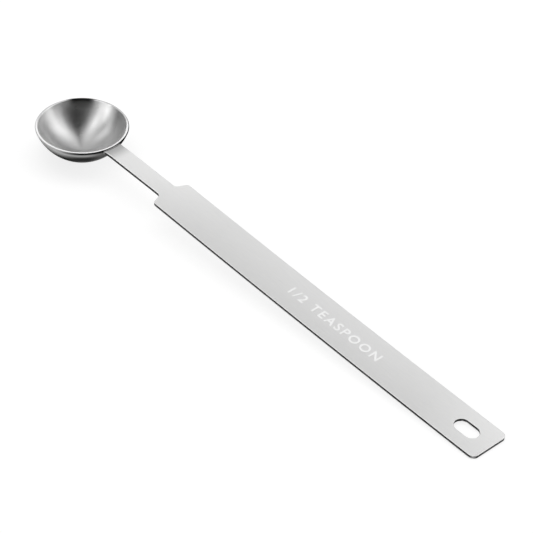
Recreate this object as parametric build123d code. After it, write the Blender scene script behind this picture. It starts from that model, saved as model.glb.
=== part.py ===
from build123d import *
import math
import os

os.makedirs("parts", exist_ok=True)

# A 2.5 ml measuring spoon: a round bowl and a flat strip handle, both stamped from stainless
# sheet, joined by a weld just below the bowl's rim. Millimetres, +Z up. The spoon lies as on a
# table, its rim level: the bowl's underside and the handle's far end both touch the plane z = 0.
# +X runs along the handle, away from the bowl, and the origin is under the middle of the spoon.

# Bowl
bowl_mouth_radius = 12.5
bowl_depth = 8.75
bowl_sheet = 0.8
rim_edge_break = 0.2

# Handle strip, its widths
handle_sheet = 1.0
handle_edge_round = 0.2
neck_width = 5.6
grip_width = 12.7
root_width = 6.3

# Handle strip, its lengths measured along the sheet
root_length = 3.0
neck_length = 23.2
shoulder_run = 1.3
grip_length = 123.2
set_start = 19.0
set_length = 2.0

# Corners of the blank, seen from above
root_flare_length = 2.4
shoulder_radius = 1.2
end_corner_radius = 2.4

# How the strip is bent, seen from the side
rim_step = 0.3
root_turn = 11.5
set_turn = 1.3
grip_sweep_turn = 1.8

# Hanging slot
slot_length = 7.6
slot_width = 4.4
slot_end_margin = 4.6

# Weld between the strip's end and the bowl's wall
weld_gap = 0.35
weld_proud = 0.14
weld_corner_radius = 0.4

# How far a cutting shape runs past the metal it cuts
cut_overrun = 2.0

# Half of a span, and how far an upright wall and a nearly level edge may lean, as shares of 1
mid_share = 0.5
wall_lean_share = 0.01
edge_lean_share = 0.4

# The inside of the bowl is the part of a sphere that has this mouth and depth
inner_radius = (bowl_mouth_radius ** 2 + bowl_depth ** 2) / (2 * bowl_depth)
outer_radius = inner_radius + bowl_sheet
rim_height = bowl_depth + bowl_sheet
sphere_height = outer_radius
rim_radius = math.sqrt(outer_radius ** 2 - (sphere_height - rim_height) ** 2)
weld_radius = outer_radius + weld_gap

# Where the middle of the sheet meets the weld, from the bowl's axis and from the table
root_height = rim_height - rim_step - handle_sheet / 2
root_reach = math.sqrt(weld_radius ** 2 - (sphere_height - root_height) ** 2)

# The strip's bends, from the weld outwards: the length of each stretch and how far it turns up
strip_length = neck_length + grip_length
strip_stretches = [
    (root_length, -root_turn),
    (set_start - root_length, 0),
    (set_length, -set_turn),
    (strip_length - set_start - set_length, grip_sweep_turn),
]


def follow_strip(distance, heading, start):
    """Point and heading of the sheet's middle at a distance from the weld along the strip."""
    x, z = start
    left = distance
    for length, turn in strip_stretches:
        step = min(length, left)
        turned = turn * step / length
        if turn == 0:
            x += step * math.cos(math.radians(heading))
            z += step * math.sin(math.radians(heading))
        else:
            chord = 2 * length / math.radians(turn) * math.sin(math.radians(turned / 2))
            x += chord * math.cos(math.radians(heading + turned / 2))
            z += chord * math.sin(math.radians(heading + turned / 2))
        heading += turned
        left -= step
        if left <= 0:
            break
    return x, z, heading


def find_neck_fall():
    """Angle at which the neck falls so that the lower edge of the handle's end is at z = 0."""
    x, z, heading = follow_strip(strip_length, root_turn, (0, 0))
    x += handle_sheet / 2 * math.sin(math.radians(heading))
    z -= handle_sheet / 2 * math.cos(math.radians(heading))
    return math.degrees(math.atan2(z, x) + math.asin(root_height / math.hypot(x, z)))


neck_fall = find_neck_fall()
root_heading = root_turn - neck_fall


def strip_place(distance):
    """Distance from the bowl's axis, height and heading of the sheet's middle."""
    return follow_strip(distance, root_heading, (root_reach, root_height))


end_x, end_z, end_heading = strip_place(strip_length)
handle_reach = end_x + handle_sheet / 2 * math.sin(math.radians(end_heading))
bowl_axis_x = (rim_radius - handle_reach) / 2
to_bowl_axis = Pos(bowl_axis_x, 0, 0)


def ball(radius):
    """Solid ball about the centre of the bowl's sphere."""
    return Pos(0, 0, sphere_height) * Sphere(radius)


def make_bowl():
    """Section of the cup turned about its axis, with both edges of the cut rim broken."""
    inner_swing = math.asin(bowl_mouth_radius / inner_radius) * mid_share
    outer_swing = math.asin(rim_radius / outer_radius) * mid_share
    inner_middle = (
        inner_radius * math.sin(inner_swing),
        sphere_height - inner_radius * math.cos(inner_swing),
    )
    outer_middle = (
        outer_radius * math.sin(outer_swing),
        sphere_height - outer_radius * math.cos(outer_swing),
    )
    inside = ThreePointArc((0, bowl_sheet), inner_middle, (bowl_mouth_radius, rim_height))
    rim = Line((bowl_mouth_radius, rim_height), (rim_radius, rim_height))
    outside = ThreePointArc((rim_radius, rim_height), outer_middle, (0, 0))
    axis_line = Line((0, 0), (0, bowl_sheet))
    section = make_face([Plane.XZ * edge for edge in (inside, rim, outside, axis_line)])
    cup = revolve(section, Axis.Z)
    rim_edges = cup.edges().filter_by(GeomType.CIRCLE).group_by(Axis.Z)[-1]
    return chamfer(rim_edges, rim_edge_break)


def side_line(offset):
    """The strip seen from the side: its middle line moved by offset along the sheet's normal."""
    lines = []
    x, z, heading = strip_place(0)
    up = (-math.sin(math.radians(heading)), math.cos(math.radians(heading)))
    along = (math.cos(math.radians(heading)), math.sin(math.radians(heading)))
    start = (x + up[0] * offset, z + up[1] * offset)
    before = (start[0] - along[0] * cut_overrun, start[1] - along[1] * cut_overrun)
    lines.append(Line(before, start))
    travelled = 0
    for length, turn in strip_stretches:
        direction = (math.cos(math.radians(heading)), math.sin(math.radians(heading)))
        travelled += length
        x, z, heading = strip_place(travelled)
        up = (-math.sin(math.radians(heading)), math.cos(math.radians(heading)))
        stop = (x + up[0] * offset, z + up[1] * offset)
        if turn == 0:
            lines.append(Line(start, stop))
        else:
            lines.append(TangentArc(start, stop, tangent=direction))
        start = stop
    direction = (math.cos(math.radians(heading)), math.sin(math.radians(heading)))
    stop = (start[0] + direction[0] * cut_overrun, start[1] + direction[1] * cut_overrun)
    lines.append(Line(start, stop))
    return lines


def make_side_ribbon():
    """The bent strip as wide as its blank and more, before its outline is cut."""
    top = side_line(handle_sheet / 2)
    bottom = side_line(-handle_sheet / 2)
    edges = top + [Line(top[-1] @ 1, bottom[-1] @ 1)] + bottom + [Line(bottom[0] @ 0, top[0] @ 0)]
    section = make_face([Plane.XZ * edge for edge in edges])
    return extrude(section, amount=grip_width / 2 + cut_overrun, both=True)


def make_outline():
    """The blank's outline from above: flared root, neck, stepped shoulders, rounded end."""
    neck_half = neck_width / 2
    grip_half = grip_width / 2
    flare = root_width / 2 - neck_half
    flare_radius = (root_flare_length ** 2 + flare ** 2) / (2 * flare)
    flare_x = root_reach + root_flare_length
    inside_x = root_reach - cut_overrun
    inside_half = neck_half + flare_radius - math.sqrt(flare_radius ** 2 - (flare_x - inside_x) ** 2)
    shoulder_x = strip_place(neck_length)[0]
    upper = [
        (flare_x, neck_half),
        (shoulder_x, neck_half),
        (shoulder_x + shoulder_run, grip_half),
        (handle_reach, grip_half),
    ]
    lower = [(x, -y) for x, y in reversed(upper)]
    step_radii = [shoulder_radius, shoulder_radius, end_corner_radius]
    edge = FilletPolyline(*upper, *lower, radius=step_radii + step_radii[::-1])
    upper_flare = TangentArc(upper[0], (inside_x, inside_half), tangent=(-1, 0))
    lower_flare = TangentArc(lower[-1], (inside_x, -inside_half), tangent=(-1, 0))
    inside = Line((inside_x, inside_half), (inside_x, -inside_half))
    return make_face([*edge.edges(), upper_flare, lower_flare, inside])


def make_handle():
    """Bent strip cut to the blank's outline, fitted to the weld, slotted and with softened edges."""
    blank = extrude(make_outline(), amount=rim_height + cut_overrun)
    strip = make_side_ribbon() & blank
    slot_x = strip_place(strip_length - slot_end_margin - slot_length / 2)[0]
    cutter = Pos(slot_x, 0, 0) * extrude(SlotOverall(slot_length, slot_width), amount=rim_height)
    strip -= cutter
    walls = strip.faces().filter_by(lambda face: abs(face.normal_at().Z) < wall_lean_share)
    least_x = root_reach - cut_overrun / 2
    long_edges = [
        edge
        for edge in walls.edges()
        if abs(edge.tangent_at(mid_share).Z) < edge_lean_share and edge.center().X > least_x
    ]
    strip = fillet(long_edges, handle_edge_round)
    return strip - ball(weld_radius)


def make_weld_seam():
    """Weld metal between the bowl's wall and the strip's end, a little proud of the sheet."""
    width = root_width + 2 * weld_proud
    height = handle_sheet + 2 * weld_proud
    aim = math.radians(root_heading)
    across = Plane(
        origin=(root_reach - cut_overrun, 0, root_height - cut_overrun * math.tan(aim)),
        x_dir=(0, 1, 0),
        z_dir=(math.cos(aim), 0, math.sin(aim)),
    )
    bar = extrude(across * RectangleRounded(width, height, weld_corner_radius), amount=2 * cut_overrun)
    return bar & (ball(weld_radius) - ball(outer_radius))


def show_capacity():
    """Print what the bowl holds, filled level with the rim."""
    volume = math.pi * bowl_depth / 6 * (3 * bowl_mouth_radius ** 2 + bowl_depth ** 2)
    print("bowl holds", round(volume), "cubic millimetres")


pieces = {"bowl": make_bowl(), "handle": make_handle(), "weld_seam": make_weld_seam()}
for name, piece in pieces.items():
    export_step(to_bowl_axis * piece, f"parts/{name}.step")
show_capacity()
print("neck falls", round(neck_fall, 2), "degrees, handle reaches", round(handle_reach, 2))
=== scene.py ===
import math

import bmesh
import bpy
from mathutils import Matrix, Vector


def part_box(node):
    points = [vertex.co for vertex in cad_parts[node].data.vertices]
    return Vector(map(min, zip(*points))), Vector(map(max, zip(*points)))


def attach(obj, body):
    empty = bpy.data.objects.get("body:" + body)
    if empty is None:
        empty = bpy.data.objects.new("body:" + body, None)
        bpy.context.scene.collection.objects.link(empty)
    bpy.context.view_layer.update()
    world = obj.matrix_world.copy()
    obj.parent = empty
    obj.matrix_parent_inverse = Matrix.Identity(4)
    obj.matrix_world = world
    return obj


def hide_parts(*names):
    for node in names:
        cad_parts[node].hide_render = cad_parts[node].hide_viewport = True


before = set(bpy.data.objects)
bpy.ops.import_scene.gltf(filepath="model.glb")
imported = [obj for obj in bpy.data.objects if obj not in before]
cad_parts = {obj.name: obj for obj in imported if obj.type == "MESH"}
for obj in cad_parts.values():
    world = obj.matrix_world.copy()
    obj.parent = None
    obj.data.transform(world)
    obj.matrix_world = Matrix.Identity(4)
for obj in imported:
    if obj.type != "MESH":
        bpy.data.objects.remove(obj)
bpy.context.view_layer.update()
scene = bpy.context.scene
scene.view_settings.view_transform = "Standard"


# Viewpoint
# A long lens looks down on the spoon at about 40 degrees from the handle's side, so that the
# bowl lies at the upper left and the handle runs to the lower right.
view_turn = math.radians(45.404)
view_rise = math.radians(39.651)
view_roll = math.radians(2.942)
view_place = Vector((0.382193, -0.373344, 0.447464))
film_width = 36
lens_length = 175.61
nearest_seen = 0.02


def new_object(name, data):
    """Object at the origin, in the scene."""
    made = bpy.data.objects.new(name, data)
    scene.collection.objects.link(made)
    return made


back = Vector((
    math.sin(view_turn) * math.cos(view_rise),
    -math.cos(view_turn) * math.cos(view_rise),
    math.sin(view_rise),
))
level_right = Vector((math.cos(view_turn), math.sin(view_turn), 0))
level_up = back.cross(level_right)
right = math.cos(view_roll) * level_right + math.sin(view_roll) * level_up
up = math.cos(view_roll) * level_up - math.sin(view_roll) * level_right
camera_data = bpy.data.cameras.new("viewpoint")
camera_data.sensor_width = film_width
camera_data.lens = lens_length
camera_data.clip_start = nearest_seen
camera = new_object("viewpoint", camera_data)
camera.matrix_world = Matrix.Translation(view_place) @ Matrix((right, up, back)).transposed().to_4x4()
scene.camera = camera


# Table top and room
# A plain white table in a white cloth tent, brightest along the spoon's two long sides and dim
# behind the viewpoint, where it opens. The opening widens toward the table, so the cloth's top
# and foot have a ramp of levels each.
table_half = 4.0
table_white = 0.24
table_glow = 0.80
tent_level = 1.62
tent_lean = math.radians(11.6)
tent_lean_turn = math.radians(104)
opening_turn = math.radians(-44.6)
# Levels of the cloth at each turn away from the opening, in degrees
tent_top = [
    (-180, 0.41), (-120, 0.31), (-93, 0.71), (-77, 0.13), (-59, 0.65), (-44, 1),
    (-30, 0.33), (-15, 0.031), (5, 0.007), (30, 0.004), (50, 0.11), (70, 0.56),
    (92, 0.94), (108, 0.81), (132, 0.44), (155, 0.33), (180, 0.41),
]
tent_foot = [
    (-180, 0.3), (-140, 1.5), (-115, 0.047), (-97, 0.058), (-80, 1.12), (-65, 1.5),
    (-48, 0.75), (-32, 0.15), (-18, 0.017), (5, 0.004), (30, 0.004), (52, 0.004),
    (72, 0.062), (92, 1.37), (108, 1.5), (130, 1.18), (155, 0.09), (180, 0.3),
]
# The top gives way to the foot between these heights on the tent, 0 at the table and 1 overhead
tent_foot_band = (0.50, 0.08)


def feed(tree, socket, value):
    """Give an input the output of another node, or a plain value."""
    if isinstance(value, bpy.types.NodeSocket):
        tree.links.new(value, socket)
    else:
        socket.default_value = value


def add_node(tree, kind, **values):
    """New node whose named inputs or properties are set."""
    node = tree.nodes.new(kind)
    for name, value in values.items():
        label = name.replace("_", " ")
        sockets = [s for s in node.inputs if s.name == label and s.enabled]
        if sockets and not hasattr(node, name):
            feed(tree, sockets[0], value)
        else:
            setattr(node, name, value)
    return node


def calc(tree, operation, first, second=0.0):
    """Output of one sum between outputs or numbers."""
    node = add_node(tree, "ShaderNodeMath", operation=operation)
    feed(tree, node.inputs[0], first)
    feed(tree, node.inputs[1], second)
    return node.outputs[0]


def fade(tree, value, start, stop, low=0.0, high=1.0, interpolation="SMOOTHSTEP"):
    """Output that goes from low to high while the value goes from start to stop."""
    node = add_node(tree, "ShaderNodeMapRange", interpolation_type=interpolation)
    for label, limit in (("From Min", start), ("From Max", stop), ("To Min", low), ("To Max", high)):
        node.inputs[label].default_value = limit
    feed(tree, node.inputs["Value"], value)
    return node.outputs[0]


def mix_levels(tree, share, first, second):
    """Mix of two levels."""
    node = add_node(tree, "ShaderNodeMix")
    for place, value in ((0, share), (2, first), (3, second)):
        feed(tree, node.inputs[place], value)
    return node.outputs[0]


def new_material(name):
    """Empty material with its output node."""
    material = bpy.data.materials.new(name)
    material.use_nodes = True
    material.node_tree.nodes.clear()
    return material, material.node_tree, material.node_tree.nodes.new("ShaderNodeOutputMaterial")


table_mesh = bpy.data.meshes.new("table_top")
table_corners = [(-1, -1), (1, -1), (1, 1), (-1, 1)]
table_mesh.from_pydata([(table_half * x, table_half * y, 0) for x, y in table_corners], [], [(0, 1, 2, 3)])
table = new_object("table_top", table_mesh)

material, tree, output = new_material("white_table")
paint = add_node(tree, "ShaderNodeBsdfDiffuse", Color=(table_white, table_white, table_white, 1))
rays = add_node(tree, "ShaderNodeLightPath")
seen = calc(tree, "MAXIMUM", rays.outputs["Is Camera Ray"], rays.outputs["Is Glossy Ray"])
seen_all = calc(tree, "MAXIMUM", seen, rays.outputs["Is Transmission Ray"])
glow = add_node(tree, "ShaderNodeEmission", Strength=calc(tree, "MULTIPLY", seen_all, table_glow))
both = add_node(tree, "ShaderNodeAddShader")
tree.links.new(paint.outputs[0], both.inputs[0])
tree.links.new(glow.outputs[0], both.inputs[1])
tree.links.new(both.outputs[0], output.inputs["Surface"])
table_mesh.materials.append(material)

world = bpy.data.worlds.new("cloth_tent")
world.use_nodes = True
tree = world.node_tree
tent = tree.nodes["Background"]
tent.inputs["Color"].default_value = (1, 1, 1, 1)
direction = add_node(tree, "ShaderNodeTexCoord")
# The tent's ridge leans a little, so the cloth's seams meet beside the point straight overhead
lean_axis = (math.sin(tent_lean_turn), -math.cos(tent_lean_turn), 0)
lean = add_node(tree, "ShaderNodeVectorRotate", rotation_type="AXIS_ANGLE", Axis=lean_axis, Angle=tent_lean)
tree.links.new(direction.outputs["Generated"], lean.inputs["Vector"])
compass = add_node(tree, "ShaderNodeSeparateXYZ", Vector=lean.outputs[0])
turn = calc(tree, "ARCTAN2", compass.outputs[1], compass.outputs[0])
# A turn from -180 to 180 degrees away from the opening becomes 0 to 1 along each ramp
from_opening = calc(tree, "SUBTRACT", turn, opening_turn)
share = calc(tree, "FRACT", calc(tree, "ADD", calc(tree, "DIVIDE", from_opening, math.tau), 0.5))
cloth_levels = []
for tent_stops in (tent_top, tent_foot):
    cloth = add_node(tree, "ShaderNodeValToRGB", Fac=share)
    cloth.color_ramp.interpolation = "EASE"
    stops = cloth.color_ramp.elements
    while len(stops) < len(tent_stops):
        stops.new(0.5)
    for stop, (degrees, grey) in zip(stops, tent_stops):
        stop.position = degrees / 360 + 0.5
        stop.color = (grey, grey, grey, 1)
    cloth_levels.append(cloth.outputs[0])
lowness = fade(tree, compass.outputs[2], *tent_foot_band)
all_sides = mix_levels(tree, lowness, *cloth_levels)
tree.links.new(calc(tree, "MULTIPLY", all_sides, tent_level), tent.inputs["Strength"])
scene.world = world


# Overhead lamp
# A broad white panel over the table. It lights the table, the frosted mark and the satin faces
# to a plain level, and the polished bowl shows only the tent.
lamp_side = 1.1
lamp_place = (-0.15, 0.15, 1.2)
lamp_brightness = 1.65
lamp_data = bpy.data.lights.new("overhead_panel", "AREA")
lamp_data.shape = "SQUARE"
lamp_data.size = lamp_side
lamp_data.energy = lamp_brightness * lamp_side ** 2 * math.pi
lamp = new_object("overhead_panel", lamp_data)
lamp.location = lamp_place
lamp.visible_glossy = False


# Bowl
# One round of 0.8 mm stainless sheet, stamped into part of a sphere that holds 2.5 ml, its rim
# cut flat and its edges rubbed round. Polished inside, with turning marks round the outside.
bowl_sheet = 0.0008
bowl_mouth_radius = 0.0125
bowl_low, bowl_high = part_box("bowl")
bowl_middle_x = (bowl_low[0] + bowl_high[0]) / 2
bowl_rim_level = bowl_high[2]
bowl_depth = bowl_rim_level - bowl_sheet
# Radius of the outside's sphere, which is also how high its middle lies
bowl_ball = 0.0141036
rim_round_inside = 0.00022
rim_round_outside = 0.00028
bowl_steps_round = 256
wall_points = 64
inner_lip_points = 12
outer_lip_points = 9
closing_gap = 0.000002
# How much of the sheet counts as outside where its two finishes meet
outside_share = 0.40
steel_white = (1.0, 1.0, 1.0)
steel_bright = (1.0, 1.0, 0.995)
steel_black = (0.0, 0.0, 0.0)
# Finish of each side: roughness, and relief of its turning marks and of its grain
inside_finish = (0.30, 0.12, 0.12)
outside_finish = (0.33, 1.2, 0.3)
brushing = 0.9
quarter_turn = 0.25
mark_scale = 9000
mark_drift = 0.8
cloud_scale = 420
grain_scale = 9000
cloud_roughness = 0.07
mark_roughness = 0.10
turned_relief = 0.25
turned_relief_depth = 0.00001
# Directions from the bowl's axis: straight across from the viewpoint, and to the right of it
far_turn = math.radians(141)
beside_turn = math.radians(73)


def add_arc(tree, points, radius, start, stop, middle_x, middle_y):
    """Arc of the section about a middle, between two angles."""
    sweep = calc(tree, "SUBTRACT", stop, start)
    arc = add_node(tree, "GeometryNodeCurveArc", mode="RADIUS", Resolution=points)
    for label, value in (("Radius", radius), ("Start Angle", start), ("Sweep Angle", sweep)):
        feed(tree, arc.inputs[label], value)
    offset = add_node(tree, "ShaderNodeCombineXYZ", X=middle_x, Y=middle_y)
    move = add_node(tree, "GeometryNodeTransform", Geometry=arc.outputs["Curve"])
    tree.links.new(offset.outputs[0], move.inputs["Translation"])
    return move.outputs[0]


tree = bpy.data.node_groups.new("turned_cup", "GeometryNodeTree")
sizes = {
    "Mouth radius": bowl_mouth_radius,
    "Depth": bowl_depth,
    "Sheet": bowl_sheet,
    "Round inside": rim_round_inside,
    "Round outside": rim_round_outside,
}
for label in sizes:
    tree.interface.new_socket(label, in_out="INPUT", socket_type="NodeSocketFloat")
tree.interface.new_socket("Steps round", in_out="INPUT", socket_type="NodeSocketInt")
tree.interface.new_socket("Steel", in_out="INPUT", socket_type="NodeSocketMaterial")
tree.interface.new_socket("Outer steel", in_out="INPUT", socket_type="NodeSocketMaterial")
tree.interface.new_socket("Geometry", in_out="OUTPUT", socket_type="NodeSocketGeometry")
given = tree.nodes.new("NodeGroupInput").outputs
result = tree.nodes.new("NodeGroupOutput")
mouth, depth, sheet, inner_round, outer_round = (given[label] for label in sizes)
squares = calc(tree, "ADD", calc(tree, "POWER", mouth, 2), calc(tree, "POWER", depth, 2))
inner = calc(tree, "DIVIDE", squares, calc(tree, "MULTIPLY", depth, 2))
outer = calc(tree, "ADD", inner, sheet)
rim = calc(tree, "ADD", depth, sheet)
rim_drop = calc(tree, "SUBTRACT", outer, rim)
inner_drop = calc(tree, "ADD", rim_drop, inner_round)
outer_drop = calc(tree, "ADD", rim_drop, outer_round)
inner_level = calc(tree, "SUBTRACT", rim, inner_round)
outer_level = calc(tree, "SUBTRACT", rim, outer_round)
inner_reach = calc(tree, "ADD", inner, inner_round)
outer_reach = calc(tree, "SUBTRACT", outer, outer_round)
inner_swing = calc(tree, "ARCSINE", calc(tree, "DIVIDE", inner_drop, inner_reach))
outer_swing = calc(tree, "ARCSINE", calc(tree, "DIVIDE", outer_drop, outer_reach))
inner_lip = calc(tree, "DIVIDE", inner_drop, calc(tree, "TANGENT", inner_swing))
outer_lip = calc(tree, "DIVIDE", outer_drop, calc(tree, "TANGENT", outer_swing))
inner_stop = calc(tree, "MULTIPLY", inner_swing, -1)
outer_stop = calc(tree, "MULTIPLY", outer_swing, -1)
inner_turned = calc(tree, "SUBTRACT", math.pi, inner_swing)
flat = tree.nodes.new("GeometryNodeCurvePrimitiveLine")
for label, lip in (("Start", inner_lip), ("End", outer_lip)):
    lip_corner = add_node(tree, "ShaderNodeCombineXYZ", X=lip, Y=rim)
    tree.links.new(lip_corner.outputs[0], flat.inputs[label])
join = tree.nodes.new("GeometryNodeJoinGeometry")
for part in (
    add_arc(tree, wall_points, inner, -math.pi / 2, inner_stop, 0.0, outer),
    add_arc(tree, inner_lip_points, inner_round, inner_turned, math.pi / 2, inner_lip, inner_level),
    add_arc(tree, outer_lip_points, outer_round, math.pi / 2, outer_stop, outer_lip, outer_level),
    add_arc(tree, wall_points, outer, -math.pi / 2, outer_stop, 0.0, outer),
    flat.outputs[0],
):
    tree.links.new(part, join.inputs[0])
section = add_node(tree, "GeometryNodeCurveToMesh", Curve=join.outputs[0])
weld = add_node(tree, "GeometryNodeMergeByDistance", Geometry=section.outputs[0], Distance=closing_gap)
chain = add_node(tree, "GeometryNodeMeshToCurve", Mesh=weld.outputs[0])
shift_by = add_node(tree, "ShaderNodeCombineXYZ", X=calc(tree, "MULTIPLY", mouth, -1))
shift = add_node(tree, "GeometryNodeTransform", Geometry=chain.outputs[0])
tree.links.new(shift_by.outputs[0], shift.inputs["Translation"])
circle = add_node(tree, "GeometryNodeCurvePrimitiveCircle", Resolution=given["Steps round"])
tree.links.new(mouth, circle.inputs["Radius"])
upright = add_node(tree, "GeometryNodeSetCurveNormal", mode="Z_UP", Curve=circle.outputs[0])
sweep = add_node(tree, "GeometryNodeCurveToMesh", Curve=upright.outputs[0])
tree.links.new(shift.outputs[0], sweep.inputs["Profile Curve"])
close = add_node(tree, "GeometryNodeMergeByDistance", Geometry=sweep.outputs[0], Distance=closing_gap)
smooth = add_node(tree, "GeometryNodeSetShadeSmooth", Geometry=close.outputs[0])
real = add_node(tree, "GeometryNodeRealizeInstances", Geometry=smooth.outputs[0])
dress = add_node(tree, "GeometryNodeSetMaterial", Geometry=real.outputs[0], Material=given["Steel"])
# The outside begins where the rim's flat ends
where = tree.nodes.new("GeometryNodeInputPosition")
ball_middle = add_node(tree, "ShaderNodeCombineXYZ", Z=calc(tree, "MULTIPLY", outer, -1))
from_ball = add_node(tree, "ShaderNodeVectorMath", operation="DISTANCE")
tree.links.new(where.outputs[0], from_ball.inputs[0])
tree.links.new(ball_middle.outputs[0], from_ball.inputs[1])
outside_from = calc(tree, "SUBTRACT", outer, calc(tree, "MULTIPLY", sheet, outside_share))
is_outer = calc(tree, "GREATER_THAN", from_ball.outputs["Value"], outside_from)
dress_outside = add_node(tree, "GeometryNodeSetMaterial", Geometry=dress.outputs[0], Selection=is_outer)
tree.links.new(given["Outer steel"], dress_outside.inputs["Material"])
tree.links.new(dress_outside.outputs[0], result.inputs[0])
cup_tree = tree


def mix_colours(tree, share, first, second, blend="MIX"):
    """Mix of two colours, each another node's output or three numbers."""
    node = add_node(tree, "ShaderNodeMix", data_type="RGBA", blend_type=blend)
    feed(tree, node.inputs[0], share)
    for socket, colour in ((node.inputs[6], first), (node.inputs[7], second)):
        feed(tree, socket, (*colour, 1) if isinstance(colour, tuple) else colour)
    return node.outputs[2]


def add_noise(tree, vector, scale, detail, roughness):
    """Level of a noise over the given places."""
    node = add_node(tree, "ShaderNodeTexNoise", Scale=scale, Detail=detail, Roughness=roughness)
    tree.links.new(vector, node.inputs["Vector"])
    return node.outputs[0]


def around(tree, level, amount):
    """A noise's level as an even swing about nothing."""
    return calc(tree, "MULTIPLY", calc(tree, "SUBTRACT", level, 0.5), amount)


def add_relief(tree, steel, height, strength, depth):
    """Fine relief of a finish."""
    bump = add_node(tree, "ShaderNodeBump", Strength=strength, Distance=depth, Height=height)
    tree.links.new(bump.outputs[0], steel.inputs["Normal"])


def turned_steel(name, roughness, mark_relief, grain_relief):
    """Steel with fine marks round the bowl's axis, and what its colour is mixed from."""
    material, tree, output = new_material(name)
    steel = add_node(tree, "ShaderNodeBsdfPrincipled", Metallic=1.0, Anisotropic=brushing)
    steel.inputs["Anisotropic Rotation"].default_value = quarter_turn
    round_axis = add_node(tree, "ShaderNodeTangent", direction_type="RADIAL", axis="Z")
    tree.links.new(round_axis.outputs[0], steel.inputs["Tangent"])
    place = add_node(tree, "ShaderNodeTexCoord")
    centred = add_node(tree, "ShaderNodeMapping", Vector=place.outputs["Object"])
    centred.inputs["Location"].default_value = (-bowl_middle_x, 0, 0)
    across, along, level = add_node(tree, "ShaderNodeSeparateXYZ", Vector=centred.outputs[0]).outputs
    squares = calc(tree, "ADD", calc(tree, "POWER", across, 2), calc(tree, "POWER", along, 2))
    turn_angle = calc(tree, "ARCTAN2", along, across)
    # The marks run with the distance from the axis and the height, and only slowly with the turn
    rings = add_node(
        tree, "ShaderNodeCombineXYZ",
        X=calc(tree, "MULTIPLY", calc(tree, "SQRT", squares), mark_scale),
        Y=calc(tree, "MULTIPLY", level, mark_scale),
        Z=calc(tree, "MULTIPLY", calc(tree, "SINE", turn_angle), mark_drift),
    )
    marks = add_noise(tree, rings.outputs[0], 1.0, 3.0, 0.6)
    cloud = add_noise(tree, centred.outputs[0], cloud_scale, 3.0, 0.5)
    grain = add_noise(tree, centred.outputs[0], grain_scale, 2.0, 0.6)
    cloudy = around(tree, cloud, cloud_roughness)
    uneven = calc(tree, "ADD", cloudy, around(tree, marks, mark_roughness))
    tree.links.new(calc(tree, "ADD", roughness, uneven), steel.inputs["Roughness"])
    grained = calc(tree, "MULTIPLY", grain, grain_relief)
    relief = calc(tree, "ADD", calc(tree, "MULTIPLY", marks, mark_relief), grained)
    add_relief(tree, steel, relief, turned_relief, turned_relief_depth)
    tree.links.new(steel.outputs[0], output.inputs["Surface"])
    return material, tree, steel, level, turn_angle, marks


# Inside, with painted highlights and painted reflections. A band says where it starts and stops, and its
# levels there if they aren't 0 and 1.
polish_dark = (0.70, 0.70, 0.698)
polish_light = (0.78, 0.78, 0.777)
polish_edge_tint = (0.85, 0.85, 0.85, 1)
painted_rim_sheen_band = (bowl_rim_level - 0.0034, bowl_rim_level - 0.0006, 0.0, 0.5)
far_reach_band = (0.94, 0.99, 0.0, 0.95)
far_top_band = (bowl_rim_level - 0.0026, bowl_rim_level - 0.0001)
side_reach_band = (0.84, 0.98, 0.0, 0.5)
side_top_band = (bowl_rim_level - 0.0060, bowl_rim_level - 0.0014)
rim_flat_from = bowl_rim_level - 0.000012
# The rim flat's painted highlight, and its painted dark reflection across from the viewpoint
rim_painted_dark_band = (0.925, 0.985)
rim_half_band = (-0.05, 0.40)
rim_half_grey = (0.60, 0.60, 0.60)
rim_painted_dark_grey = (0.02, 0.02, 0.02)
rim_painted_white_share = 0.9
bowl_inside, tree, steel, level, turn_angle, marks = turned_steel("bowl_inside", *inside_finish)
steel.inputs["Specular Tint"].default_value = polish_edge_tint
polish = mix_colours(tree, marks, polish_dark, polish_light)
# Painted highlight: the wall just below the rim is painted brighter
painted_rim_sheen = fade(tree, level, *painted_rim_sheen_band)
wall_tint = mix_colours(tree, painted_rim_sheen, polish, steel_bright)
# Painted reflection: the wall is painted dark straight across from the viewpoint, and half as much and
# further down to the right of it
across = calc(tree, "COSINE", calc(tree, "SUBTRACT", turn_angle, far_turn))
beside = calc(tree, "COSINE", calc(tree, "SUBTRACT", turn_angle, beside_turn))
far_reach = fade(tree, across, *far_reach_band)
far_top = fade(tree, level, *far_top_band, interpolation="LINEAR")
side_reach = fade(tree, beside, *side_reach_band)
side_top = fade(tree, level, *side_top_band, interpolation="LINEAR")
painted_far_reflection = calc(tree, "MULTIPLY", far_reach, far_top)
painted_side_reflection = calc(tree, "MULTIPLY", side_reach, side_top)
wall_with_painted_reflection = mix_colours(tree, calc(tree, "MAXIMUM", painted_far_reflection, painted_side_reflection), wall_tint, steel_black)
# The flat of the rim is made mostly non-metal and painted white as a highlight, greyer over its far half
# and painted dark as a reflection in the middle of it
on_rim = calc(tree, "GREATER_THAN", level, rim_flat_from)
rim_painted_dark = fade(tree, across, *rim_painted_dark_band)
half_tint = mix_colours(tree, fade(tree, across, *rim_half_band), steel_white, rim_half_grey)
rim_painted_tint = mix_colours(tree, rim_painted_dark, half_tint, rim_painted_dark_grey)
tree.links.new(mix_colours(tree, on_rim, wall_with_painted_reflection, rim_painted_tint), steel.inputs["Base Color"])
rim_not_painted_dark = calc(tree, "MULTIPLY", on_rim, calc(tree, "SUBTRACT", 1.0, rim_painted_dark))
rim_painted_white = calc(tree, "MULTIPLY", rim_not_painted_dark, rim_painted_white_share)
tree.links.new(calc(tree, "SUBTRACT", 1.0, rim_painted_white), steel.inputs["Metallic"])
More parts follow.
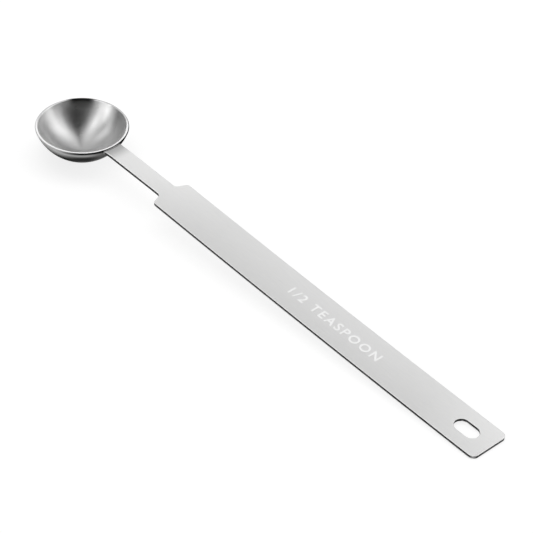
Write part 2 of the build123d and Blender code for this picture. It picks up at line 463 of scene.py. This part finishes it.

# Outside, with its painted shade and painted reflection bands given the same way
outside_shade_black = (0.02, 0.02, 0.02)
painted_bright_side_band = (math.radians(-40), math.radians(-76))
handle_side_band = (math.radians(-34), math.radians(-10))
under_rim_band = (bowl_rim_level - 0.0003, bowl_rim_level - 0.0011)
foot_band = (0.0070, 0.0090, 0.05, 0.55)
painted_foot_reflection_band = (0.0052, 0.0090, 0.0, 0.6)
painted_table_gleam_band = (0.0062, 0.0042, 0.0, 0.14)
handle_side_level = 0.20
handle_side_gleam = 1.5
streak_least = 0.55
streak_swing = 0.9
# Painted shade and painted highlight on the rim's outer corner
lip_from = bowl_rim_level - 0.0004
lip_highlight_start_band = (0.15, 0.50)
lip_highlight_stop_band = (0.955, 0.88)
lip_highlight_grey = (0.85, 0.85, 0.848)
painted_lip_share = 0.9
bowl_outside, tree, steel, level, turn_angle, marks = turned_steel("bowl_outside", *outside_finish)
steel.inputs["Specular Tint"].default_value = (0.0, 0.0, 0.0, 1)
steel.inputs["Specular IOR Level"].default_value = 0.0
# Painted shade and reflection: the outside is painted dark just under the rim and round the foot, and
# lighter between, with a painted gleam of the table low down. The side away from the handle is
# painted lighter up to the rim, and the side of the handle is even. The turning marks streak it.
painted_bright_side = fade(tree, turn_angle, *painted_bright_side_band)
handle_side = fade(tree, turn_angle, *handle_side_band)
under_rim = fade(tree, level, *under_rim_band)
foot = fade(tree, level, *foot_band)
painted_foot_reflection = fade(tree, level, *painted_foot_reflection_band)
painted_table_gleam = fade(tree, level, *painted_table_gleam_band)
handle_gleam = calc(tree, "MULTIPLY", painted_table_gleam, handle_side_gleam)
handle_light = calc(tree, "ADD", handle_side_level, handle_gleam)
front_light = mix_levels(tree, handle_side, calc(tree, "ADD", foot, painted_table_gleam), handle_light)
lower_light = mix_levels(tree, painted_bright_side, front_light, painted_foot_reflection)
upper_light = calc(tree, "MAXIMUM", under_rim, painted_bright_side)
outside_light = calc(tree, "MULTIPLY", upper_light, lower_light)
streaks = calc(tree, "ADD", streak_least, calc(tree, "MULTIPLY", marks, streak_swing))
streaked = calc(tree, "MULTIPLY", outside_light, streaks)
outside_tint = mix_colours(tree, streaked, outside_shade_black, steel_bright)
# The rim's outer corner is made a non-metal, black with painted shade, and painted pale as a highlight
# beside the rim's painted dark stretch
on_lip = calc(tree, "GREATER_THAN", level, lip_from)
across = calc(tree, "COSINE", calc(tree, "SUBTRACT", turn_angle, far_turn))
lip_highlight_start = fade(tree, across, *lip_highlight_start_band)
lip_highlight_arc = calc(tree, "MULTIPLY", lip_highlight_start, fade(tree, across, *lip_highlight_stop_band))
painted_lip_highlight = calc(tree, "MULTIPLY", lip_highlight_arc, on_lip)
lip_tint = mix_colours(tree, painted_lip_highlight, outside_tint, lip_highlight_grey)
tree.links.new(lip_tint, steel.inputs["Base Color"])
lip_non_metal = calc(tree, "MULTIPLY", on_lip, painted_lip_share)
tree.links.new(calc(tree, "SUBTRACT", 1.0, lip_non_metal), steel.inputs["Metallic"])

cup_seed = new_object("cup_seed", bpy.data.meshes.new("cup_seed"))
turning = cup_seed.modifiers.new("turning", "NODES")
turning.node_group = cup_tree
settings = {**sizes, "Steps round": bowl_steps_round, "Steel": bowl_inside, "Outer steel": bowl_outside}
for item in cup_tree.interface.items_tree:
    if item.in_out == "INPUT":
        turning[item.identifier] = settings[item.name]
evaluated = cup_seed.evaluated_get(bpy.context.evaluated_depsgraph_get())
bowl_mesh = bpy.data.meshes.new_from_object(evaluated)
bpy.data.objects.remove(cup_seed)
bowl_mesh.name = "stamped_bowl"
# The section was turned upside down about the origin, so the cup is set upright at its place
bowl_mesh.transform(Matrix.Translation((bowl_middle_x, 0, 0)) @ Matrix.Diagonal((1, 1, -1, 1)))
metal = bmesh.new()
metal.from_mesh(bowl_mesh)
bmesh.ops.recalc_face_normals(metal, faces=metal.faces)
metal.to_mesh(bowl_mesh)
metal.free()
bowl = new_object("stamped_bowl", bowl_mesh)
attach(bowl, "root")
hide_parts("bowl")


# Handle
# One strip of 1 mm stainless sheet, sheared to shape with its slot punched out, then set and
# softly blasted. Its faces are satin with a painted sheen and painted shade beside the bowl, and
# its sheared edges are painted dark as shade, with burnish marks and painted highlights.
strip_sheet = 0.001
strip_edge_round = 0.0002
edge_steps = 4
face_margin = 0.00005
neck_half = 0.0028
grip_half = 0.00629
root_half = 0.0029
# Each reach is measured from the bowl's axis
root_reach = 0.013484
root_level = 0.0089
root_heading = math.radians(2.77)
root_steps = 6
flare_length = 0.0024
flare_steps = 12
shoulder_reach = 0.036585
shoulder_run = 0.0013
shoulder_round = 0.0012
shoulder_steps = 14
end_reach = 0.15954
end_round = 0.0018
end_steps = 20
slot_reach = 0.151174
slot_half_length = 0.0038
slot_half_width = 0.0022
slot_steps = 48
weld_gap = 0.00035
weld_reach = bowl_ball + weld_gap
# Over this length the strip's end is drawn onto the weld
end_fit = 0.0003
# Length of each stretch of the strip from the weld outwards, and how far it turns up in degrees
bends = [(0.003, -5.767), (0.016, 0.0), (0.002, -1.3), (0.1254, 1.8)]
# Rows of cuts across the flat blank, so that it can bend: first cut, spacing and number
bend_cuts = [(root_reach + 0.0003, 0.0003, 11), (0.0318, 0.0002, 14), (0.040, 0.003, 40)]
cut_tolerance = 0.00000001
# How sharp a corner may count when the outline is inset: 0.5 moves it by twice the distance
least_corner_share = 0.5


def strip_place(reach):
    """Height and heading of the middle of the sheet at a reach from the bowl's axis."""
    x, z, heading = root_reach, root_level, root_heading
    for length, degrees in bends:
        turn = math.radians(degrees)
        if turn == 0:
            step = (reach - x) / math.cos(heading)
        else:
            bend_round = length / turn
            across = math.sin(heading) + (reach - x) / bend_round
            step = (math.asin(max(-1, min(1, across))) - heading) * bend_round
        if step <= length or (length, degrees) == bends[-1]:
            new = heading + turn * step / length
            chord = step if turn == 0 else 2 * length / turn * math.sin(turn * step / length / 2)
            return z + chord * math.sin((heading + new) / 2), new
        new = heading + turn
        chord = length if turn == 0 else 2 * length / turn * math.sin(turn / 2)
        x += chord * math.cos((heading + new) / 2)
        z += chord * math.sin((heading + new) / 2)
        heading = new


def round_corner(before, corner, after, radius, steps):
    """Points of the arc that rounds a corner of the blank."""
    inward = (Vector(before) - Vector(corner)).normalized()
    outward = (Vector(after) - Vector(corner)).normalized()
    half = inward.angle(outward) / 2
    middle = Vector(corner) + (inward + outward).normalized() * radius / math.sin(half)
    start = Vector(corner) + inward * radius / math.tan(half) - middle
    stop = Vector(corner) + outward * radius / math.tan(half) - middle
    sweep = start.angle_signed(stop)
    turned = []
    for step in range(steps + 1):
        angle = -sweep * step / steps
        turned.append((
            middle.x + start.x * math.cos(angle) - start.y * math.sin(angle),
            middle.y + start.x * math.sin(angle) + start.y * math.cos(angle),
        ))
    return turned


def inset_loop(loop, distance):
    """The loop moved into the metal by a distance; the metal lies on its left."""
    moved = []
    for before, here, after in zip(loop[-1:] + loop[:-1], loop, loop[1:] + loop[:1]):
        coming = (Vector(here) - Vector(before)).normalized()
        going = (Vector(after) - Vector(here)).normalized()
        middle = (coming + going).normalized()
        reach = distance / max(least_corner_share, middle.dot(coming))
        moved.append((here[0] - middle.y * reach, here[1] + middle.x * reach))
    return moved


flare_round = (flare_length ** 2 + (root_half - neck_half) ** 2) / (2 * (root_half - neck_half))
flare_reach = root_reach + flare_length
half_outline = []
for step in range(flare_steps + 1):
    x = root_reach + flare_length * step / flare_steps
    hollow = math.sqrt(flare_round ** 2 - (flare_reach - x) ** 2)
    half_outline.append((x, neck_half + flare_round - hollow))
flare_corner = (flare_reach, neck_half)
neck_corner = (shoulder_reach, neck_half)
grip_corner = (shoulder_reach + shoulder_run, grip_half)
end_corner = (end_reach, grip_half)
end_middle = (end_reach, 0)
half_outline += round_corner(flare_corner, neck_corner, grip_corner, shoulder_round, shoulder_steps)
half_outline += round_corner(neck_corner, grip_corner, end_corner, shoulder_round, shoulder_steps)
half_outline += round_corner(grip_corner, end_corner, end_middle, end_round, end_steps)
outline = half_outline + [(x, -y) for x, y in reversed(half_outline)]
outline += [(root_reach, root_half * step / root_steps) for step in range(1 - root_steps, root_steps)]
slot_outline = []
for step in range(slot_steps):
    angle = math.tau * (step + 0.5) / slot_steps
    run = math.copysign(slot_half_length - slot_half_width, math.cos(angle))
    slot_x = slot_reach + run + slot_half_width * math.cos(angle)
    slot_outline.append((slot_x, slot_half_width * math.sin(angle)))

# The edge's section from one face round the sheared wall to the other: inset and side of the sheet
edge_section = [(strip_edge_round + face_margin, strip_sheet / 2)]
for step in range(edge_steps + 1):
    angle = math.pi / 2 * step / edge_steps
    inset = strip_edge_round * (1 - math.sin(angle))
    edge_section.append((inset, strip_sheet / 2 - strip_edge_round * (1 - math.cos(angle))))
edge_section += [(inset, -side) for inset, side in reversed(edge_section)]
metal = bmesh.new()
sheet_side = metal.verts.layers.float.new("sheet_side")
face_edges = ([], [])
for loop in (outline[::-1], slot_outline[::-1]):
    rows = []
    for inset, side in edge_section:
        rows.append([metal.verts.new((*point, side)) for point in inset_loop(loop, inset)])
    for upper_row, lower_row in zip(rows, rows[1:]):
        for step in range(len(loop)):
            after = (step + 1) % len(loop)
            metal.faces.new((upper_row[step], upper_row[after], lower_row[after], lower_row[step]))
    for edges, row in zip(face_edges, (rows[0], rows[-1])):
        edges += [metal.edges.get(pair) for pair in zip(row, row[1:] + row[:1])]
for edges in face_edges:
    bmesh.ops.triangle_fill(metal, edges=edges, use_beauty=True)
for point in metal.verts:
    point[sheet_side] = point.co.z / strip_sheet
for first_cut, spacing, count in bend_cuts:
    for step in range(count):
        bmesh.ops.bisect_plane(
            metal, geom=metal.verts[:] + metal.edges[:] + metal.faces[:],
            plane_co=(first_cut + spacing * step, 0, 0), plane_no=(1, 0, 0), dist=cut_tolerance,
        )
# Bend the flat blank along its route, and draw its first row onto the weld's round
for point in metal.verts:
    side = point.co.z
    height, heading = strip_place(point.co.x)
    nearness = 1 - (point.co.x - root_reach) / end_fit
    point.co.x -= side * math.sin(heading)
    point.co.z = height + side * math.cos(heading)
    if nearness > 0:
        wall_reach = math.sqrt(weld_reach ** 2 - (bowl_ball - point.co.z) ** 2 - point.co.y ** 2)
        point.co.x += (wall_reach - point.co.x) * min(1, nearness)
    point.co.x += bowl_middle_x
bmesh.ops.recalc_face_normals(metal, faces=metal.faces)
for face in metal.faces:
    face.smooth = True
handle_mesh = bpy.data.meshes.new("strip_handle")
metal.to_mesh(handle_mesh)
metal.free()
handle = new_object("strip_handle", handle_mesh)

# Satin face: scales of its grain, its clouding and its rolling lines, and its colours
satin_scale = 7000
satin_cloud_scale = 120
rolling_scale = (300, 9000, 900)
face_dark = (0.73, 0.73, 0.726)
face_light = (0.97, 0.97, 0.966)
face_paleness = 0.20
rolling_paleness = 0.5
face_roughness = 0.36
face_cloudiness = 0.10
face_metal_share = 0.56
satin_relief = 0.3
rolling_share = 0.5
satin_relief_depth = 0.00001
# Where the face's painted sheen grows paler, and where the painted shade beside the bowl fades out, as
# bands like the bowl's
painted_side_sheen_band = (-0.0075, 0.0070, 0.0, 0.42)
painted_neck_sheen_band = (-0.012, -0.055, 0.0, 0.60)
painted_end_sheen_band = (0.060, 0.087, 0.0, 0.40)
painted_root_shade_band = (0.0137, 0.0190, 0.50, 1.0)
# Sheared wall: its streaks and colours, painted shade and highlights among them, and its bands by lean and
# by side of the sheet
shear_scale = (5000, 5000, 500)
edge_dark = steel_black
edge_streak_and_reflection_grey = (0.25, 0.25, 0.248)
edge_streaks = 0.12
edge_roughness = 0.25
edge_roughness_swing = 0.3
wall_band = (0.985, 0.955)
broken_band = (0.42, 0.35)
toward_view_band = (-0.60, -0.85)
painted_foot_gleam_band = (-0.14, -0.26)
corner_band = (0.25, 0.50, 0.0, 0.9)
near_side_highlight_band = (-0.15, 0.15)
burnish_grey = (0.48, 0.48, 0.478)
burnish_highlight_share = 0.5
grip_from = bowl_middle_x + shoulder_reach + 0.0007
slot_middle = bowl_middle_x + slot_reach
slot_clear = slot_half_length + 0.0003
material, tree, output = new_material("handle_steel")
steel = add_node(tree, "ShaderNodeBsdfPrincipled")
place = add_node(tree, "ShaderNodeTexCoord").outputs["Object"]
place_x, place_y = add_node(tree, "ShaderNodeSeparateXYZ", Vector=place).outputs[:2]
facing = add_node(tree, "ShaderNodeNewGeometry").outputs["Normal"]
facing_x, facing_y, facing_z = add_node(tree, "ShaderNodeSeparateXYZ", Vector=facing).outputs
satin = add_noise(tree, place, satin_scale, 3.0, 0.6)
cloud = add_noise(tree, place, satin_cloud_scale, 3.0, 0.5)
drawn = add_node(tree, "ShaderNodeMapping", Vector=place, Scale=rolling_scale)
rolling = add_noise(tree, drawn.outputs[0], 1.0, 2.0, 0.6)
sheared = add_node(tree, "ShaderNodeMapping", Vector=place, Scale=shear_scale)
burnish = add_noise(tree, sheared.outputs[0], 1.0, 3.0, 0.6)
# The top of the wall is a burnished band with a painted highlight, and the rest, where it broke away,
# is painted dark as shade. On the grip's wall toward the viewpoint the painted shade starts at the
# face, and the foot of the wall is painted bright as a gleam of the table.
on_wall = fade(tree, calc(tree, "ABSOLUTE", facing_z), *wall_band, interpolation="LINEAR")
through = add_node(tree, "ShaderNodeAttribute", attribute_name="sheet_side").outputs["Fac"]
broken = fade(tree, through, *broken_band)
toward_view = fade(tree, facing_y, *toward_view_band)
on_grip = calc(tree, "GREATER_THAN", place_x, grip_from)
grip_wall = calc(tree, "MULTIPLY", toward_view, on_grip)
painted_foot_gleam = calc(tree, "MULTIPLY", grip_wall, fade(tree, through, *painted_foot_gleam_band))
dark_part = calc(tree, "MAXIMUM", broken, grip_wall)
dark_part = calc(tree, "MULTIPLY", dark_part, calc(tree, "SUBTRACT", 1.0, painted_foot_gleam))
is_edge = calc(tree, "MULTIPLY", on_wall, dark_part)
pale = calc(tree, "MULTIPLY", on_wall, calc(tree, "SUBTRACT", 1.0, dark_part))
# Painted sheen: the faces are painted a shade paler along one side and toward both ends, and the rolling
# lines streak them
painted_side_sheen = fade(tree, place_y, *painted_side_sheen_band)
painted_neck_sheen = fade(tree, place_x, *painted_neck_sheen_band)
painted_end_sheen = fade(tree, place_x, *painted_end_sheen_band)
sheen_and_rolling = calc(tree, "ADD", painted_side_sheen, calc(tree, "ADD", painted_neck_sheen, painted_end_sheen))
sheen_and_rolling = calc(tree, "ADD", sheen_and_rolling, around(tree, rolling, rolling_paleness))
face_tint = mix_colours(tree, calc(tree, "ADD", sheen_and_rolling, face_paleness), face_dark, face_light)
# Painted shade darkens the last few millimetres beside the bowl
from_bowl = add_node(tree, "ShaderNodeVectorMath", operation="DISTANCE")
from_bowl.inputs[1].default_value = (bowl_middle_x, 0, bowl_rim_level)
tree.links.new(place, from_bowl.inputs[0])
painted_root_shade = fade(tree, from_bowl.outputs["Value"], *painted_root_shade_band)
painted_root_shade_grey = add_node(tree, "ShaderNodeCombineColor", Red=painted_root_shade, Green=painted_root_shade, Blue=painted_root_shade)
face_with_root_shade = mix_colours(tree, 1.0, face_tint, painted_root_shade_grey.outputs[0], "MULTIPLY")
# A painted reflection lightens the dark on the outline's rounded corners, but not inside the slot
slanted = calc(tree, "ABSOLUTE", calc(tree, "MULTIPLY", facing_x, facing_y))
from_slot = calc(tree, "ABSOLUTE", calc(tree, "SUBTRACT", place_x, slot_middle))
past_slot = calc(tree, "GREATER_THAN", from_slot, slot_clear)
painted_corner_reflection = calc(tree, "MULTIPLY", fade(tree, slanted, *corner_band), past_slot)
streaks_and_corner_reflection = calc(tree, "ADD", calc(tree, "MULTIPLY", burnish, edge_streaks), painted_corner_reflection)
edge_tint = mix_colours(tree, streaks_and_corner_reflection, edge_dark, edge_streak_and_reflection_grey)
# The burnish's painted highlight is bright on the walls leaning toward the viewpoint and grey on the others
lean = calc(tree, "SUBTRACT", facing_x, facing_y)
near_side_highlight = fade(tree, lean, *near_side_highlight_band, interpolation="LINEAR")
burnish_highlight_tint = mix_colours(tree, near_side_highlight, burnish_grey, steel_white)
tint = mix_colours(tree, is_edge, face_with_root_shade, edge_tint)
tree.links.new(mix_colours(tree, pale, tint, burnish_highlight_tint), steel.inputs["Base Color"])
face_rough = calc(tree, "ADD", face_roughness, around(tree, cloud, face_cloudiness))
edge_swing = calc(tree, "MULTIPLY", burnish, edge_roughness_swing)
edge_rough = calc(tree, "ADD", edge_roughness, edge_swing)
tree.links.new(mix_levels(tree, is_edge, face_rough, edge_rough), steel.inputs["Roughness"])
edge_metal = calc(tree, "MULTIPLY", is_edge, 1.0 - face_metal_share)
metal_share = calc(tree, "ADD", face_metal_share, edge_metal)
pale_share = calc(tree, "MULTIPLY", pale, burnish_highlight_share)
tree.links.new(calc(tree, "SUBTRACT", metal_share, pale_share), steel.inputs["Metallic"])
face_relief = calc(tree, "ADD", satin, calc(tree, "MULTIPLY", rolling, rolling_share))
add_relief(tree, steel, face_relief, satin_relief, satin_relief_depth)
tree.links.new(steel.outputs[0], output.inputs["Surface"])
handle_mesh.materials.append(material)
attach(handle, "root")
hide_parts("handle")


# Weld
# A short bead of weld metal that fills the gap between the strip's end and the bowl's wall,
# ground nearly flush and left a little duller than the sheet.
weld_round = 0.0003
weld_swell = 0.00004
weld_overlap = 0.00004
weld_proud = 0.00004
weld_rings = 4
weld_steps_round = 64
weld_dark = (0.30, 0.30, 0.298)
weld_light = (0.46, 0.46, 0.455)
weld_roughness = 0.3
weld_roughness_swing = 0.3
ripple_scale = 3500
ripple_relief = 0.5
ripple_depth = 0.00003
half_wide = root_half - weld_round + weld_proud
half_thick = strip_sheet / 2 - weld_round
metal = bmesh.new()
rings = []
for row in range(weld_rings + 1):
    share = row / weld_rings
    ball = bowl_ball - weld_overlap + (weld_gap + 2 * weld_overlap) * share
    corner_round = weld_round + weld_swell * math.sin(math.pi * share)
    ring = []
    for step in range(weld_steps_round):
        angle = math.tau * (step + 0.5) / weld_steps_round
        y = math.copysign(half_wide, math.cos(angle)) + corner_round * math.cos(angle)
        rise = math.copysign(half_thick, math.sin(angle)) + corner_round * math.sin(angle)
        x = math.sqrt(ball ** 2 - (bowl_ball - root_level - rise) ** 2 - y ** 2)
        z = root_level + rise + (x - root_reach) * math.tan(root_heading)
        ring.append(metal.verts.new((x + bowl_middle_x, y, z)))
    rings.append(ring)
for inner_ring, outer_ring in zip(rings, rings[1:]):
    for step in range(weld_steps_round):
        after = (step + 1) % weld_steps_round
        metal.faces.new((inner_ring[step], inner_ring[after], outer_ring[after], outer_ring[step]))
metal.faces.new(rings[0])
metal.faces.new(rings[-1])
bmesh.ops.recalc_face_normals(metal, faces=metal.faces)
for face in metal.faces:
    face.smooth = len(face.verts) == 4
weld_mesh = bpy.data.meshes.new("weld_bead")
metal.to_mesh(weld_mesh)
metal.free()
weld_seam = new_object("weld_bead", weld_mesh)

material, tree, output = new_material("weld_steel")
steel = add_node(tree, "ShaderNodeBsdfPrincipled", Metallic=1.0)
place = add_node(tree, "ShaderNodeTexCoord").outputs["Object"]
ripple = add_noise(tree, place, ripple_scale, 3.0, 0.6)
tree.links.new(mix_colours(tree, ripple, weld_dark, weld_light), steel.inputs["Base Color"])
weld_swing = calc(tree, "MULTIPLY", ripple, weld_roughness_swing)
tree.links.new(calc(tree, "ADD", weld_roughness, weld_swing), steel.inputs["Roughness"])
add_relief(tree, steel, ripple, ripple_relief, ripple_depth)
tree.links.new(steel.outputs[0], output.inputs["Surface"])
weld_mesh.materials.append(material)
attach(weld_seam, "root")
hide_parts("weld_seam")


# Capacity mark
# The spoon's measure, etched frosty white across the middle of the grip. It is a plain mark of
# half a teaspoon, laid on the strip's own curve.
mark_words = "1/2 TEASPOON"
mark_middle_x = 0.0295
mark_height = 0.0041
mark_spacing = 1.3
mark_rise = 0.00002
mark_stroke_gain = 0.00006
frost_dark = (0.90, 0.90, 0.90)
frost_light = (1.0, 1.0, 1.0)
frost_roughness = 0.7
pit_scale = 9000
words = bpy.data.curves.new("capacity_mark", "FONT")
words.body = mark_words
words.size = mark_height
words.align_x = "CENTER"
words.align_y = "CENTER"
words.space_character = mark_spacing
words.extrude = mark_rise
words.offset = mark_stroke_gain
words_object = new_object("mark_words", words)
bpy.context.view_layer.update()
evaluated = words_object.evaluated_get(bpy.context.evaluated_depsgraph_get())
mark_mesh = bpy.data.meshes.new_from_object(evaluated)
bpy.data.objects.remove(words_object)
mark_mesh.transform(Matrix.Translation((mark_middle_x, 0, 0)))
for point in mark_mesh.vertices:
    height, heading = strip_place(point.co.x - bowl_middle_x)
    point.co.z += height + strip_sheet / 2 / math.cos(heading)
mark = new_object("capacity_mark", mark_mesh)

material, tree, output = new_material("frosted_etch")
frost = add_node(tree, "ShaderNodeBsdfPrincipled", Metallic=0.0, Roughness=frost_roughness)
place = add_node(tree, "ShaderNodeTexCoord").outputs["Object"]
pits = add_noise(tree, place, pit_scale, 3.0, 0.7)
tree.links.new(mix_colours(tree, pits, frost_dark, frost_light), frost.inputs["Base Color"])
tree.links.new(frost.outputs[0], output.inputs["Surface"])
mark_mesh.materials.clear()
mark_mesh.materials.append(material)
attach(mark, "root")
